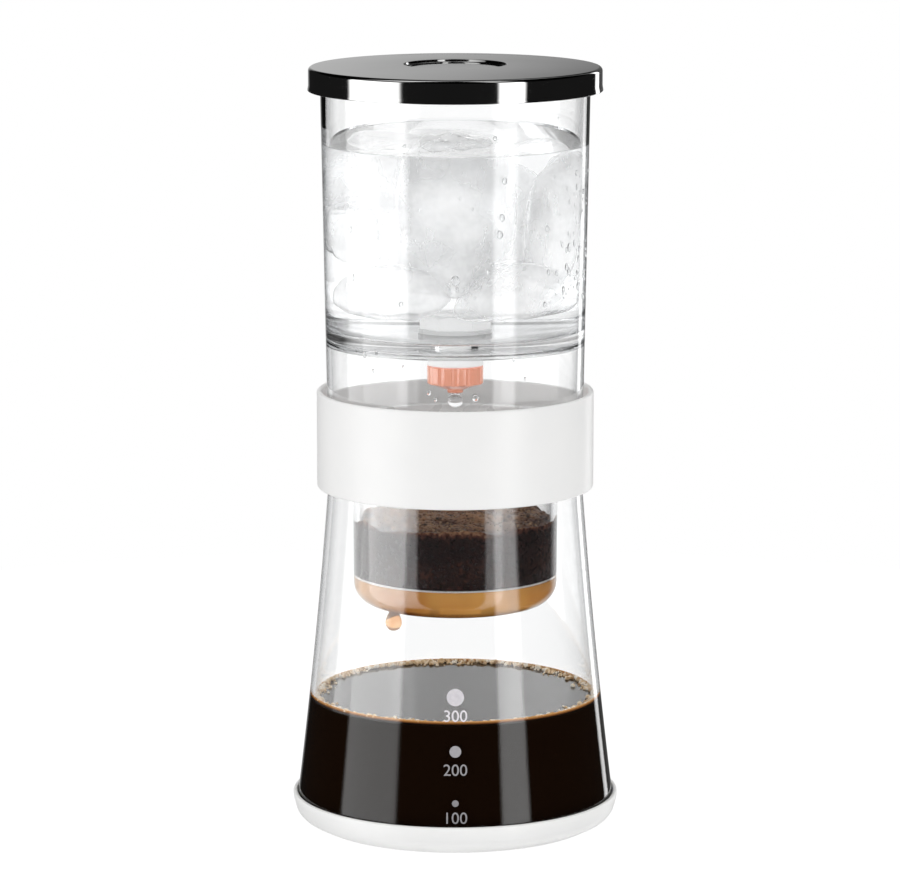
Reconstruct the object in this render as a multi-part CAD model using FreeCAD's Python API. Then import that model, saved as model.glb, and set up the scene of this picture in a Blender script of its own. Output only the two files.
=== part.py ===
import FreeCAD
import Part

import math
import os

# A glass cold drip coffee tower, in millimetres. Z is up, and Z 0 is the surface that it stands on.
# From the bottom: a boot, a carafe, a collar that carries the coffee basket, a tank with a drip valve, a lid.

# Clearances
seat_gap = 0.3          # between a curved or rounded face and the piece of another body that it rests on
fit_gap = 0.1           # between two pieces that stay together
thread_gap = 0.15       # radial, where the knob's thread runs on the valve body
needle_gap = 0.5        # radial, round the needle, where the water runs
spider_seat_gap = 0.05  # under the needle's arms, where they stand in the knob

# Boot under the carafe
boot_rim_wall = 1.3
boot_flare = 6.6        # how much further out the rim is than the edge that the boot stands on
boot_height = 9.4
boot_floor = 2.6
boot_foot_width = 7.0
boot_recess = 0.8       # depth of the hollow inside the foot ring

# Carafe
carafe_foot_radius = 49.2
carafe_foot_round = 6.0
carafe_height = 113.4
carafe_neck_height = 10.0
carafe_wall = 1.8
carafe_floor = 2.0
carafe_flank_bow = 0.56  # how far the flank curves in from a straight cone

# Collar
collar_bore = 40.7
collar_wall = 1.6
collar_height = 29.7
collar_skirt = 12.7     # from the shelf's underside down to the collar's lower edge
collar_edge_round = 0.7
shelf_thickness = 2.0
shelf_gap = 0.9         # round the basket, in the shelf's hole
carafe_gasket_thickness = 1.2
carafe_gasket_lip = 6.5  # how far the gasket reaches down round the carafe's neck
seat_ring_thickness = 0.8
seat_ring_inset = 0.5

# Basket for the ground coffee
neck_gap = 1.9          # from the collar's bore to the carafe's neck
basket_side_gap = 5.5   # from the carafe's neck to the basket
basket_taper = 0.3
basket_wall = 1.9
basket_floor = 2.2
basket_depth = 51.9     # from the flange's underside to the basket's underside
basket_corner_round = 7.0
flange_bearing = 6.5    # how much of the flange lies on the shelf
flange_thickness = 1.8
drain_hole_radius = 0.8
drain_hole_count = 8
drain_circle_radius = 15.0

# Filter that stands in the basket
filter_lift = 4.6       # height of the seal's web over the basket's floor
filter_web = 0.9
filter_lip_height = 1.6
filter_lip_wall = 0.7
filter_foot_radius = 1.4
filter_foot_count = 6
filter_frame_width = 2.2
filter_frame_height = 1.3
filter_mesh_thickness = 0.3
filter_mesh_grip = 1.4  # how far the mesh reaches into the frame's slot
mesh_hole_radius = 0.75
mesh_ring_pitch = 3.9

# Tank
tank_gap = 1.7          # from the collar's bore to the tank's lower edge
tank_taper = 1.95       # how much wider the tank is at its rim than at its lower edge
tank_height = 107.8
tank_wall = 1.9
tank_floor_height = 27.8  # from the tank's lower edge to the underside of its floor
tank_floor = 2.6
tank_floor_fillet = 2.6
tank_seal_foot = 1.0
tank_seal_leg = 4.0
tank_seal_inner_wall = 1.0

# Drip valve, a bulkhead fitting in the tank's floor with a knob screwed on below
spigot_radius = 5.0
washer_thickness = 1.2
washer_radius = 8.4
body_top_radius = 8.2
body_bottom_radius = 8.7
body_height = 6.2
nut_height = 4.2
nut_flats = 14.0
inlet_radius = 1.3
o_ring_section = 0.45   # radius of the ring's round section
o_ring_proud = 0.05     # how far the ring stands out of its groove
o_ring_height = 1.8     # from the spigot's lower end to the middle of the ring
knob_radius = 8.6
knob_height = 5.6
knob_floor = 0.9        # from the end of the knob's bore down to the start of its cone
nozzle_radius = 2.45
nozzle_drop = 2.5       # height of the knob's cone and nozzle together
nozzle_tip = 0.8        # straight part at the end of the nozzle
flute_count = 12
flute_radius = 1.7
flute_depth = 0.6
needle_radius = 0.8
needle_tip_radius = 0.3
needle_length = 6.2
spider_thickness = 0.5
spider_arm_width = 1.4
spider_arm_count = 3
spider_play = 0.55      # from the arms up to the end of the spigot, so that the knob can screw shut

# Lid
lid_sheet = 0.7
lid_gap = 2.85          # from the tank's rim to the inside of the lid's skirt
lid_skirt = 7.1
lid_hem_flare = 0.25
lid_shoulder_round = 1.2
lid_crown = 0.75        # how much higher the lid is at its dish than at its edge
lid_dish_radius = 15.6
lid_dish_depth = 1.2
lid_gasket_thickness = 1.2
lid_gasket_lip = 4.4
lid_gasket_overlap = 2.5  # how far the gasket reaches in from the tank's rim

# Heights, from the bottom up
carafe_bottom_z = boot_floor
carafe_mouth_z = carafe_bottom_z + carafe_height
carafe_neck_z = carafe_mouth_z - carafe_neck_height
gasket_z = carafe_mouth_z + seat_gap
shelf_z = gasket_z + carafe_gasket_thickness
shelf_top_z = shelf_z + shelf_thickness
collar_bottom_z = shelf_z - collar_skirt
collar_top_z = collar_bottom_z + collar_height
flange_z = shelf_top_z + seat_ring_thickness
flange_top_z = flange_z + flange_thickness
basket_bottom_z = flange_z - basket_depth
basket_floor_z = basket_bottom_z + basket_floor
filter_web_z = basket_floor_z + filter_lift
filter_frame_z = filter_web_z + filter_web
tank_bottom_z = flange_top_z + tank_seal_foot + fit_gap
tank_floor_z = tank_bottom_z + tank_floor_height
tank_floor_top_z = tank_floor_z + tank_floor
tank_rim_z = tank_bottom_z + tank_height
body_top_z = tank_floor_z - washer_thickness
body_bottom_z = body_top_z - body_height
nut_z = tank_floor_top_z + washer_thickness
nut_top_z = nut_z + nut_height
knob_top_z = body_bottom_z - seat_gap
knob_cone_z = knob_top_z - knob_height
knob_bore_z = knob_cone_z + knob_floor
spider_z = knob_bore_z + spider_seat_gap
spider_top_z = spider_z + spider_thickness
spigot_end_z = spider_top_z + spider_play
nozzle_z = knob_cone_z - nozzle_drop
lid_gasket_z = tank_rim_z + seat_gap
lid_edge_under_z = lid_gasket_z + lid_gasket_thickness + fit_gap
lid_edge_z = lid_edge_under_z + lid_sheet
lid_hem_z = lid_edge_z - lid_skirt

# Radii, from the collar's bore
carafe_neck_radius = collar_bore - neck_gap
basket_radius = carafe_neck_radius - carafe_wall - basket_side_gap
shelf_hole_radius = basket_radius + shelf_gap
flange_radius = shelf_hole_radius + flange_bearing
basket_inner_radius = basket_radius - basket_taper - basket_wall
filter_lip_radius = basket_inner_radius - seat_gap
frame_radius = filter_lip_radius - filter_lip_wall - fit_gap
frame_inner_radius = frame_radius - filter_frame_width
tank_bottom_radius = collar_bore - tank_gap
tank_rim_radius = tank_bottom_radius + tank_taper
floor_hole_radius = spigot_radius + fit_gap
knob_bore_radius = spigot_radius + thread_gap
nozzle_bore_radius = needle_radius + needle_gap
lid_inner_radius = tank_rim_radius + lid_gap
lid_radius = lid_inner_radius + lid_sheet


def carafe_radius_at(z):
    """Outer radius of the carafe's flank, taken as a straight cone, at a height."""
    share = (z - carafe_bottom_z) / (carafe_neck_z - carafe_bottom_z)
    return carafe_foot_radius + (carafe_neck_radius - carafe_foot_radius) * share


def tank_radius_at(z):
    """Outer radius of the tank at a height."""
    return tank_bottom_radius + tank_taper * (z - tank_bottom_z) / tank_height


def point(radius, z):
    """A point of a profile, in the plane that is turned about Z."""
    return FreeCAD.Vector(radius, 0, z)


def rounding(before, corner, after, radius):
    """The start, middle and end of the tangent arc that rounds a corner, kept to half of its two sides."""
    back = before - corner
    ahead = after - corner
    half_angle = back.getAngle(ahead) / 2
    longest = 0.49 * min(back.Length, ahead.Length)
    reach = min(radius / math.tan(half_angle), longest)
    radius = reach * math.tan(half_angle)
    back.normalize()
    ahead.normalize()
    inward = back + ahead
    inward.normalize()
    middle = corner + inward * (radius / math.sin(half_angle) - radius)
    return corner + back * reach, middle, corner + ahead * reach


def profile(corners):
    """A closed face from corners of (radius, z, rounding, bow). The bow is how far the next side curves in."""
    full = [tuple(corner) + (0.0,) * (4 - len(corner)) for corner in corners]
    points = [point(corner[0], corner[1]) for corner in full]
    count = len(full)
    arcs = []
    for i, corner in enumerate(full):
        if corner[2] > 0:
            arcs.append(rounding(points[i - 1], points[i], points[(i + 1) % count], corner[2]))
        else:
            arcs.append((points[i], points[i], points[i]))
    edges = []
    for i, corner in enumerate(full):
        start, middle, end = arcs[i]
        if corner[2] > 0:
            edges.append(Part.Arc(start, middle, end).toShape())
        following = arcs[(i + 1) % count][0]
        side = following - end
        if corner[3]:
            across = FreeCAD.Vector(-side.z, 0, side.x).normalize()
            bow = Part.BezierCurve()
            bow.setPoles([end, (end + following) * 0.5 + across * (2 * corner[3]), following])
            edges.append(bow.toShape())
        else:
            edges.append(Part.LineSegment(end, following).toShape())
    return Part.Face(Part.Wire(edges))


def turned(corners):
    """A solid of revolution about Z from a profile's corners."""
    return profile(corners).revolve(FreeCAD.Vector(0, 0, 0), FreeCAD.Vector(0, 0, 1), 360)


def post(radius, low_z, high_z, x=0.0, y=0.0):
    """An upright cylinder between two heights."""
    return Part.makeCylinder(radius, high_z - low_z, FreeCAD.Vector(x, y, low_z))


def circle_of_posts(count, circle_radius, radius, low_z, high_z, first_angle=0.0):
    """Equal upright cylinders, evenly spaced on a circle."""
    posts = []
    for i in range(count):
        angle = math.radians(first_angle) + 2 * math.pi * i / count
        posts.append(post(radius, low_z, high_z, circle_radius * math.cos(angle), circle_radius * math.sin(angle)))
    return posts


def ring(inner, outer, low_z, high_z, edge_round=0.2):
    """A flat ring with softened edges."""
    return turned([
        (inner, low_z, edge_round),
        (outer, low_z, edge_round),
        (outer, high_z, edge_round),
        (inner, high_z, edge_round),
    ])


def base_boot():
    """The soft boot that the carafe stands in, with a ring foot and a flared, rounded flank."""
    pocket_rim = carafe_radius_at(boot_height) + seat_gap
    rim_radius = pocket_rim + boot_rim_wall
    foot_radius = rim_radius - boot_flare
    recess_radius = foot_radius - boot_foot_width
    pocket_corner = carafe_radius_at(boot_floor) + seat_gap
    return turned([
        (0, boot_recess),
        (recess_radius, boot_recess, 0.3),
        (recess_radius, 0, 0.3),
        (foot_radius, 0, 1.5),
        (foot_radius + 0.8 * boot_flare, 0.28 * boot_height, 5.0),
        (rim_radius, 0.85 * boot_height, 4.0),
        (rim_radius, boot_height, 0.6),
        (pocket_rim, boot_height, 0.4),
        (pocket_corner, boot_floor, carafe_foot_round - seat_gap),
        (0, boot_floor),
    ])


def carafe():
    """The glass server: a flat floor, a gently curved flank, and a straight neck with a fire-polished rim."""
    inner_floor_z = carafe_bottom_z + carafe_floor
    inner_foot = carafe_foot_radius - carafe_wall
    inner_neck = carafe_neck_radius - carafe_wall
    return turned([
        (0, carafe_bottom_z),
        (carafe_foot_radius, carafe_bottom_z, carafe_foot_round, carafe_flank_bow),
        (carafe_neck_radius, carafe_neck_z, 20.0),
        (carafe_neck_radius, carafe_mouth_z, 0.45 * carafe_wall),
        (inner_neck, carafe_mouth_z, 0.45 * carafe_wall),
        (inner_neck, carafe_neck_z, 20.0, -carafe_flank_bow),
        (inner_foot, inner_floor_z, carafe_foot_round - 1.0),
        (0, inner_floor_z),
    ])


def collar():
    """The plastic ring that joins the carafe and the tank, with the shelf that the basket hangs from."""
    outer = collar_bore + collar_wall
    return turned([
        (outer, collar_bottom_z, collar_edge_round),
        (outer, collar_top_z, collar_edge_round),
        (collar_bore, collar_top_z, collar_edge_round),
        (collar_bore, shelf_top_z, 0.5),
        (shelf_hole_radius, shelf_top_z, 0.4),
        (shelf_hole_radius, shelf_z, 0.4),
        (collar_bore, shelf_z, 0.5),
        (collar_bore, collar_bottom_z, collar_edge_round),
    ])


def carafe_gasket():
    """The seal under the collar's shelf: a flat ring over the carafe's rim and a lip round its neck."""
    outer = collar_bore - fit_gap
    lip_inner = carafe_neck_radius + seat_gap
    inner = carafe_neck_radius - carafe_wall - 0.5
    shelf_fillet = 0.5
    return turned([
        (inner, gasket_z, 0.3),
        (lip_inner, gasket_z, 0.3),
        (lip_inner, gasket_z - carafe_gasket_lip, 0.4),
        (outer, gasket_z - carafe_gasket_lip, 0.4),
        (outer, shelf_z, shelf_fillet + fit_gap),
        (inner, shelf_z, 0.3),
    ])


def basket_seat_ring():
    """The soft ring on the shelf that the basket's glass flange rests on."""
    return ring(shelf_hole_radius + seat_ring_inset, flange_radius, shelf_top_z, flange_z)


def basket():
    """The glass cup for the ground coffee, hung by its flange, with a ring of drain holes in its floor."""
    low_radius = basket_radius - basket_taper
    cup = turned([
        (0, basket_bottom_z),
        (low_radius, basket_bottom_z, basket_corner_round),
        (basket_radius, flange_z, 0.8),
        (flange_radius, flange_z, 0.45 * flange_thickness),
        (flange_radius, flange_top_z, 0.45 * flange_thickness),
        (basket_radius - basket_wall, flange_top_z, 1.2),
        (basket_inner_radius, basket_floor_z, basket_corner_round - basket_wall),
        (0, basket_floor_z),
    ])
    drains = circle_of_posts(
        drain_hole_count,
        drain_circle_radius,
        drain_hole_radius,
        basket_bottom_z - 1,
        basket_floor_z + 1,
    )
    return cup.cut(drains)


def filter_seal():
    """The soft moulding that carries the filter: a lip against the glass, a web, and feet on the floor."""
    flat_floor_radius = basket_inner_radius - (basket_corner_round - basket_wall)
    foot_circle = flat_floor_radius - filter_foot_radius - seat_gap
    web_inner = foot_circle - filter_foot_radius
    lip_top_z = filter_frame_z + filter_lip_height
    body = turned([
        (web_inner, filter_web_z, 0.2),
        (filter_lip_radius, filter_web_z, 0.4),
        (filter_lip_radius, lip_top_z, 0.25),
        (filter_lip_radius - filter_lip_wall, lip_top_z, 0.25),
        (filter_lip_radius - filter_lip_wall, filter_frame_z),
        (web_inner, filter_frame_z, 0.2),
    ])
    feet = circle_of_posts(
        filter_foot_count,
        foot_circle,
        filter_foot_radius,
        basket_floor_z,
        filter_web_z + 0.5 * filter_web,
        first_angle=15,
    )
    return body.fuse(feet).removeSplitter()


def mesh_slot():
    """Lower and upper height of the frame's slot, which is half way up the frame."""
    middle = filter_frame_z + 0.5 * filter_frame_height
    half = 0.5 * filter_mesh_thickness
    return middle - half, middle + half


def filter_frame():
    """The steel ring that holds the mesh in a slot."""
    low, high = mesh_slot()
    slot_radius = frame_inner_radius + filter_mesh_grip + fit_gap
    return turned([
        (frame_inner_radius, filter_frame_z, 0.15),
        (frame_radius, filter_frame_z, 0.3),
        (frame_radius, filter_frame_z + filter_frame_height, 0.3),
        (frame_inner_radius, filter_frame_z + filter_frame_height, 0.15),
        (frame_inner_radius, high),
        (slot_radius, high),
        (slot_radius, low),
        (frame_inner_radius, low),
    ])


def filter_mesh():
    """The perforated steel disc, with rings of holes that are as far apart as the rings are."""
    low, high = mesh_slot()
    disc = post(frame_inner_radius + filter_mesh_grip, low, high)
    holes = [post(mesh_hole_radius, low - 1, high + 1)]
    rings = int((frame_inner_radius - mesh_hole_radius - 0.5) / mesh_ring_pitch)
    for i in range(1, rings + 1):
        holes += circle_of_posts(6 * i, i * mesh_ring_pitch, mesh_hole_radius, low - 1, high + 1)
    return disc.cut(holes)


def tank():
    """The glass tube of the tank, with a floor fused in above its lower edge and a hole for the valve."""
    rim_round = 0.45 * tank_wall
    return turned([
        (floor_hole_radius, tank_floor_z, 0.3),
        (tank_radius_at(tank_floor_z) - tank_wall, tank_floor_z, tank_floor_fillet),
        (tank_bottom_radius - tank_wall, tank_bottom_z, rim_round),
        (tank_bottom_radius, tank_bottom_z, rim_round),
        (tank_rim_radius, tank_rim_z, rim_round),
        (tank_rim_radius - tank_wall, tank_rim_z, rim_round),
        (tank_radius_at(tank_floor_top_z) - tank_wall, tank_floor_top_z, tank_floor_fillet),
        (floor_hole_radius, tank_floor_top_z, 0.3),
    ])


def tank_seal_ring():
    """The soft channel on the tank's lower edge, which centres the tank in the collar."""
    leg_top_z = tank_bottom_z + tank_seal_leg
    outer = collar_bore - seat_gap
    channel_outer = tank_radius_at(leg_top_z) + fit_gap
    channel_inner = tank_bottom_radius - tank_wall - fit_gap
    inner = channel_inner - tank_seal_inner_wall
    floor_z = tank_bottom_z - fit_gap
    return turned([
        (inner, flange_top_z, 0.3),
        (outer, flange_top_z, 0.3),
        (outer, leg_top_z, 0.25),
        (channel_outer, leg_top_z, 0.25),
        (channel_outer, floor_z),
        (channel_inner, floor_z),
        (channel_inner, leg_top_z, 0.3),
        (inner, leg_top_z, 0.3),
    ])


def valve_washer_lower():
    """The soft washer between the valve body and the underside of the tank's floor."""
    return ring(floor_hole_radius, washer_radius, body_top_z, tank_floor_z)


def valve_washer_upper():
    """The soft washer between the tank's floor and the nut."""
    return ring(floor_hole_radius, washer_radius, tank_floor_top_z, nut_z)


def valve_body():
    """The frosted fitting: a flared skirt below the floor, and a bored spigot up into the tank and down."""
    spigot_top_z = nut_top_z + 1.0
    groove_z = spigot_end_z + o_ring_height
    groove_radius = spigot_radius + o_ring_proud - 2 * o_ring_section - fit_gap
    groove_half = o_ring_section + fit_gap
    return turned([
        (inlet_radius, spigot_end_z, 0.2),
        (spigot_radius, spigot_end_z, 0.4),
        (spigot_radius, groove_z - groove_half),
        (groove_radius, groove_z - groove_half),
        (groove_radius, groove_z + groove_half),
        (spigot_radius, groove_z + groove_half),
        (spigot_radius, body_bottom_z),
        (body_bottom_radius, body_bottom_z, 0.3),
        (body_bottom_radius, body_bottom_z + 0.25 * body_height, 1.5),
        (body_top_radius, body_top_z, 0.3),
        (spigot_radius, body_top_z),
        (spigot_radius, spigot_top_z, 0.5),
        (inlet_radius, spigot_top_z, 0.5),
    ])


def valve_nut():
    """The six-sided nut inside the tank that clamps the fitting to the floor."""
    corner_radius = nut_flats / 2 / math.cos(math.pi / 6)
    corners = []
    for i in range(7):
        angle = math.pi / 3 * i
        corners.append(FreeCAD.Vector(corner_radius * math.cos(angle), corner_radius * math.sin(angle), nut_z))
    prism = Part.Face(Part.makePolygon(corners)).extrude(FreeCAD.Vector(0, 0, nut_height))
    chamfered = turned([
        (spigot_radius + fit_gap, nut_z),
        (corner_radius + 1, nut_z),
        (corner_radius + 1, nut_top_z - 1.2),
        (nut_flats / 2 - 0.4, nut_top_z),
        (spigot_radius + fit_gap, nut_top_z),
    ])
    return prism.common(chamfered)


def valve_o_ring():
    """The ring in the spigot's groove that seals the knob."""
    centre = FreeCAD.Vector(0, 0, spigot_end_z + o_ring_height)
    return Part.makeTorus(spigot_radius + o_ring_proud - o_ring_section, o_ring_section, centre)


def valve_knob():
    """The fluted knob: a bore that runs on the spigot, a cone, and the nozzle that the water drips from."""
    body = turned([
        (nozzle_bore_radius, nozzle_z),
        (nozzle_radius, nozzle_z, 0.4),
        (nozzle_radius, nozzle_z + nozzle_tip, 0.4),
        (knob_radius - 1.2, knob_cone_z, 1.5),
        (knob_radius, knob_cone_z + 0.4, 0.5),
        (knob_radius, knob_top_z, 0.4),
        (knob_bore_radius, knob_top_z, 0.2),
        (knob_bore_radius, knob_bore_z),
        (nozzle_bore_radius, knob_bore_z),
    ])
    flutes = circle_of_posts(
        flute_count,
        knob_radius + flute_radius - flute_depth,
        flute_radius,
        knob_cone_z - 1,
        knob_top_z + 1,
    )
    return body.cut(flutes)


def valve_needle():
    """The needle that meters the water: a tapered tip in the body's bore, and arms on the knob's floor."""
    bottom_z = nozzle_z + 0.3
    needle = turned([
        (0, bottom_z),
        (needle_radius, bottom_z, 0.2),
        (needle_radius, spider_top_z),
        (needle_tip_radius, bottom_z + needle_length, 0.15),
        (0, bottom_z + needle_length),
    ])
    reach = knob_bore_radius - 0.3
    arms = []
    for i in range(spider_arm_count):
        arm = Part.makeBox(
            reach,
            spider_arm_width,
            spider_thickness,
            FreeCAD.Vector(0, -spider_arm_width / 2, spider_z),
        )
        arm.rotate(FreeCAD.Vector(0, 0, 0), FreeCAD.Vector(0, 0, 1), 360 / spider_arm_count * i)
        arms.append(arm)
    return needle.fuse(arms).removeSplitter()


def lid():
    """The pressed steel lid: a slightly crowned top with a round dish, and a skirt with a flared hem."""
    dish_top_z = lid_edge_z + lid_crown
    dish_wall = 0.5
    hem_radius = lid_radius + lid_hem_flare
    return turned([
        (0, dish_top_z - lid_dish_depth),
        (lid_dish_radius - dish_wall, dish_top_z - lid_dish_depth, 0.5),
        (lid_dish_radius, dish_top_z, 0.3),
        (lid_radius, lid_edge_z, lid_shoulder_round),
        (lid_radius, lid_hem_z + 1.5, 3.0),
        (hem_radius, lid_hem_z, 0.2),
        (hem_radius - lid_sheet, lid_hem_z, 0.2),
        (lid_inner_radius, lid_hem_z + 1.5, 3.0),
        (lid_inner_radius, lid_edge_under_z, lid_shoulder_round - 0.5),
        (lid_dish_radius + lid_sheet, dish_top_z - lid_sheet, 0.3),
        (lid_dish_radius + lid_sheet - dish_wall, dish_top_z - lid_dish_depth - lid_sheet, 0.5),
        (0, dish_top_z - lid_dish_depth - lid_sheet),
    ])


def lid_gasket():
    """The soft ring in the lid: a flat part over the tank's rim and a lip round it."""
    outer = lid_inner_radius - fit_gap
    lip_inner = tank_rim_radius + seat_gap
    inner = tank_rim_radius - lid_gasket_overlap
    top_z = lid_gasket_z + lid_gasket_thickness
    lip_z = lid_gasket_z - lid_gasket_lip
    return turned([
        (inner, lid_gasket_z, 0.3),
        (lip_inner, lid_gasket_z, 0.3),
        (lip_inner, lip_z, 0.4),
        (outer, lip_z, 0.4),
        (outer, top_z, lid_shoulder_round),
        (inner, top_z, 0.3),
    ])


pieces = [
    base_boot,
    carafe,
    collar,
    carafe_gasket,
    basket_seat_ring,
    basket,
    filter_seal,
    filter_frame,
    filter_mesh,
    tank,
    tank_seal_ring,
    valve_washer_lower,
    valve_washer_upper,
    valve_body,
    valve_nut,
    valve_o_ring,
    valve_needle,
    valve_knob,
    lid,
    lid_gasket,
]

os.makedirs("parts", exist_ok=True)
for piece in pieces:
    shape = piece()
    box = shape.BoundBox
    print(
        f"{piece.__name__}: {len(shape.Solids)} solid, valid {shape.isValid()}, {shape.Volume:.0f} mm3, "
        f"radius {box.XMax:.2f}, z {box.ZMin:.2f} to {box.ZMax:.2f}"
    )
    shape.exportStep(f"parts/{piece.__name__}.step")
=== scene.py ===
# %% [markdown]
# # A cold drip coffee tower
# A tower of clear glass stands in a soft white boot. Ice melts in the tank at the top, water falls drop
# by drop from a small valve onto ground coffee in a hanging basket, and coffee gathers in the flared
# carafe below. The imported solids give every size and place. This script gives them their glass, steel,
# plastic and silicone, and adds what the tower holds: ice, water, ground coffee, brewed coffee, foam and
# drops.

# %% The frame
import math

import bmesh
import bpy
import numpy as np
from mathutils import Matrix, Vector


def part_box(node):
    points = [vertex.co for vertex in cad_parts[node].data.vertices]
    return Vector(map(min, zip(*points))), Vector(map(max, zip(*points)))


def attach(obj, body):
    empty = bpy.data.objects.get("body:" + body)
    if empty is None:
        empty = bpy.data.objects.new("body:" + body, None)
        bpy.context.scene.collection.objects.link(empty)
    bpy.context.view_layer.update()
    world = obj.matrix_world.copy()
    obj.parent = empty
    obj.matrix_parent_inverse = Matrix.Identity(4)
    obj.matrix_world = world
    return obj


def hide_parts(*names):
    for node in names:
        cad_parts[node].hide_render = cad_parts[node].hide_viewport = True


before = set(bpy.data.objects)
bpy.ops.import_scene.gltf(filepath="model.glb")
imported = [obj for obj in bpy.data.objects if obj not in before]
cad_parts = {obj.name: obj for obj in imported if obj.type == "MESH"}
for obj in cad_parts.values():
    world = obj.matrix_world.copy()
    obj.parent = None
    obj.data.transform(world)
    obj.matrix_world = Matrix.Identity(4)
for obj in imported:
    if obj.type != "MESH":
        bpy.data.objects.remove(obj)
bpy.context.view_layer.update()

mm = 0.001
full_turn = 2 * math.pi

# %% [markdown]
# ## Camera
# The photograph is taken from a little above with a long lens, which keeps the sides of the tower nearly
# parallel. The distance, height and tilt were found by matching the rims of the glass, so the picture can
# be laid over the photograph. The tower stands a few pixels right of the picture's middle, so the camera
# stands a little to the left.

# %% Camera
photo_width_px = 900
axis_column_px = 455.3
focal_px = 4665.3
sensor_mm = 36.0
camera_distance = 1406.7 * mm
camera_height = 366.5 * mm
camera_tilt = math.radians(10.056)

camera_data = bpy.data.cameras.new("studio_camera")
camera_data.sensor_width = sensor_mm
camera_data.lens = focal_px / photo_width_px * sensor_mm
camera_data.clip_start = 0.01
camera_data.clip_end = 50
camera = bpy.data.objects.new("studio_camera", camera_data)
aside = (axis_column_px - photo_width_px / 2) / focal_px * camera_distance
camera.location = (-aside, -camera_distance, camera_height)
camera.rotation_euler = (math.pi / 2 - camera_tilt, 0, 0)
bpy.context.scene.collection.objects.link(camera)
bpy.context.scene.camera = camera
print(f"lens {camera_data.lens:.1f} mm")

# %% [markdown]
# ## Shader helpers
# A material is a small graph of nodes. These helpers add a node, do one step of arithmetic, read a ramp
# of colours or sample noise, so that each finish further down is a few lines that read like a recipe. All
# patterns read Object coordinates: every piece has its object at the origin, so the pattern stays on the
# surface whatever moves.

# %% Shader helpers


def node(tree, kind, inputs=(), **settings):
    """A new node, with its settings, and its inputs linked or set in order. None leaves an input alone."""
    made = tree.nodes.new(kind)
    for name, value in settings.items():
        setattr(made, name, value)
    for socket, value in zip(made.inputs, inputs):
        if isinstance(value, bpy.types.NodeSocket):
            tree.links.new(value, socket)
        elif value is not None:
            socket.default_value = value
    return made


def arithmetic(tree, operation, *inputs):
    """The result of one step of arithmetic in a shader."""
    return node(tree, "ShaderNodeMath", inputs, operation=operation).outputs[0]


def ramp(tree, factor, stops):
    """A ramp on a factor, from stops of (position, grey) or (position, (red, green, blue))."""
    made = node(tree, "ShaderNodeValToRGB", [factor])
    elements = made.color_ramp.elements
    while len(elements) < len(stops):
        elements.new(1.0)
    for element, (position, colour) in zip(elements, stops):
        element.position = position
        element.color = (*colour, 1) if isinstance(colour, tuple) else (colour, colour, colour, 1)
    return made.outputs[0]


def place_on_piece(tree):
    """Object coordinates, in metres: every object is at the origin, so Z is the height above the floor."""
    return node(tree, "ShaderNodeTexCoord").outputs["Object"]


def height_on_piece(tree):
    """The height above the floor of the point that is shaded."""
    return node(tree, "ShaderNodeSeparateXYZ", [place_on_piece(tree)]).outputs["Z"]


def noise(tree, cells_per_metre, detail=3.0, stretch=(1, 1, 1)):
    """Smooth noise from 0 to 1 on Object coordinates."""
    mapping = node(tree, "ShaderNodeMapping", [place_on_piece(tree)])
    mapping.inputs["Scale"].default_value = stretch
    made = node(tree, "ShaderNodeTexNoise", [mapping.outputs[0]])
    made.inputs["Scale"].default_value = cells_per_metre
    made.inputs["Detail"].default_value = detail
    return made.outputs["Fac"]


def spread(tree, factor, low, high, start=0.3, end=0.7):
    """The factor between start and end, spread over low to high."""
    return node(tree, "ShaderNodeMapRange", [factor, start, end, low, high]).outputs[0]


def finish(name, sockets):
    """A material with one Principled shader, whose sockets take these constant values."""
    material = bpy.data.materials.new(name)
    material.use_nodes = True
    shader = material.node_tree.nodes["Principled BSDF"]
    for socket, value in sockets.items():
        shader.inputs[socket].default_value = value
    return material, material.node_tree, shader


def drive(tree, shader, socket, value):
    """Feeds a varying value into one socket of the shader."""
    tree.links.new(value, shader.inputs[socket])


def lets_soft_light_in(tree, shader):
    """Opens a clear material to the rays that light what is behind it, so that the inside isn't dark."""
    ray = node(tree, "ShaderNodeLightPath").outputs
    soft = arithmetic(tree, "MAXIMUM", ray["Is Diffuse Ray"], ray["Is Shadow Ray"])
    drive(tree, shader, "Alpha", arithmetic(tree, "SUBTRACT", 1.0, soft))


def relief(tree, shader, height, depth, strength=1.0):
    """Bump of a real depth, in metres, from a height between 0 and 1."""
    made = node(tree, "ShaderNodeBump")
    made.inputs["Strength"].default_value = strength
    made.inputs["Distance"].default_value = depth
    tree.links.new(height, made.inputs["Height"])
    tree.links.new(made.outputs[0], shader.inputs["Normal"])


# %% [markdown]
# ## Studio
# Clear glass shows only what it reflects and bends, so the studio makes the picture. The backdrop is
# white. In front it is dark, but for two soft boxes: they are the pale upright bands on the glass, and
# the white blocks on the steel lid. The world's shader holds this as bands of azimuth. It counts the
# bounces of a ray, so what shines through glass is white, a mirror sees the boxes, and plastic gets an
# even light from all round.

# %% Studio
scene = bpy.context.scene
scene.view_settings.view_transform = "Standard"
scene.cycles.max_bounces = 24
scene.cycles.transmission_bounces = 22
scene.cycles.diffuse_bounces = 10
scene.cycles.glossy_bounces = 8
scene.cycles.sample_clamp_indirect = 4.0
scene.cycles.use_denoising = True

world = bpy.data.worlds.new("studio")
scene.world = world
world.use_nodes = True
sky = world.node_tree
sky.nodes.clear()


def turn_share(degrees):
    """Azimuth in degrees, from the camera's side towards +X, as a share of the ramp from 0 to 1."""
    return degrees / 360 + 0.5


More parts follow.
